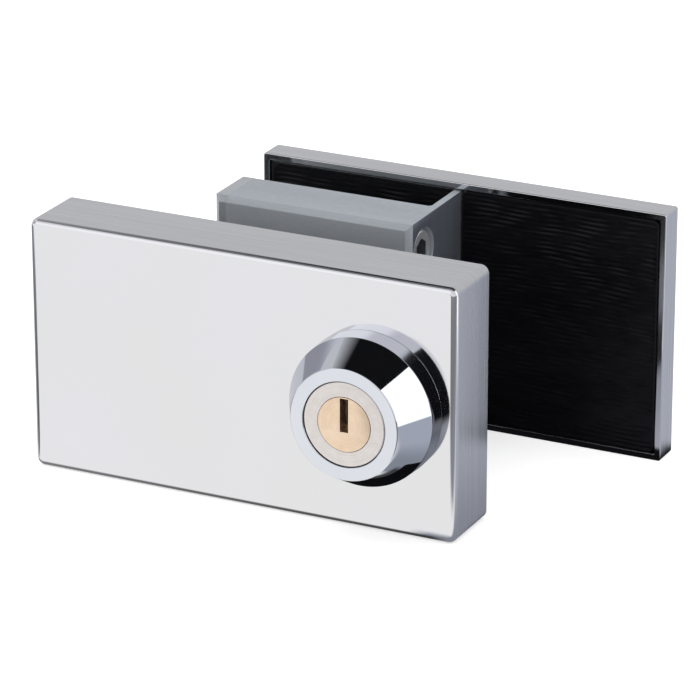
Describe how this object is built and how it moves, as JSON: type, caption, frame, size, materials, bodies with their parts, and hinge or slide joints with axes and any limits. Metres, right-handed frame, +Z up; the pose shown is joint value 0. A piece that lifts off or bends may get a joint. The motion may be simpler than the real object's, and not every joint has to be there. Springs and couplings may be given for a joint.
{
  "type": "glass door lock",
  "caption": "Key lock for a frameless glass door, front and rear covers apart; a conical rose and key cylinder drive a rack bolt.",
  "frame": {"origin": "centre of the lock's own footprint, on the surface that both halves stand on", "axes": "+X along the covers towards the key cylinder's end, +Y from the key side to the rear half, +Z up"},
  "size_m": [0.1282, 0.0844, 0.06],
  "materials": {
    "satin_steel": "fine satin with a polished face",
    "chrome": "polished",
    "nickel": "turned, satin nickel",
    "brass": "fine turned",
    "zinc": "blasted die-cast zinc",
    "plain_steel": "zinc-plated",
    "rubber": "matt, finely ribbed",
    "mounting_pad": "closed foam"
  },
  "bodies": {
    "front_half": {"front_cover": "satin_steel", "rose": "chrome", "cylinder_body": "nickel", "cylinder_washer": "plain_steel", "cylinder_nut": "plain_steel", "bolt_guide": "plain_steel", "guide_screws": "plain_steel", "front_base_plate": "plain_steel", "base_plate_posts": "plain_steel", "base_plate_screws": "plain_steel", "front_pad": "rubber"},
    "plug": {"key_plug": "brass", "wafers": "brass", "wafer_springs": "plain_steel", "pinion": "plain_steel", "pinion_screw": "plain_steel"},
    "bolt": {"bolt": "satin_steel"},
    "rear_half": {"rear_cover": "satin_steel", "rear_base_plate": "plain_steel", "rear_pad": "rubber", "cover_pads": "mounting_pad", "lock_case": "zinc", "faceplate": "satin_steel", "case_screws": "chrome", "foot_screws": "plain_steel", "foot_pad": "rubber"}
  },
  "joints": [
    {"name": "plug_turn", "type": "hinge", "parent": "front_half", "child": "plug", "pos_m": [0.021, -0.02945, 0.0295], "axis": [0, 1, 0], "range_deg": [0, 90]},
    {"name": "bolt_throw", "type": "slide", "parent": "front_half", "child": "bolt", "axis": [-1, 0, 0], "range_m": [0, 0.01178]},
    {"name": "closing_slide", "type": "slide", "parent": "front_half", "child": "rear_half", "axis": [-0.5676, -0.8233, 0], "range_m": [0, 0.04263]}
  ],
  "couplings": [
    {"joint": "plug_turn", "follows": "bolt_throw", "rad_per_m": 133.33}
  ]
}
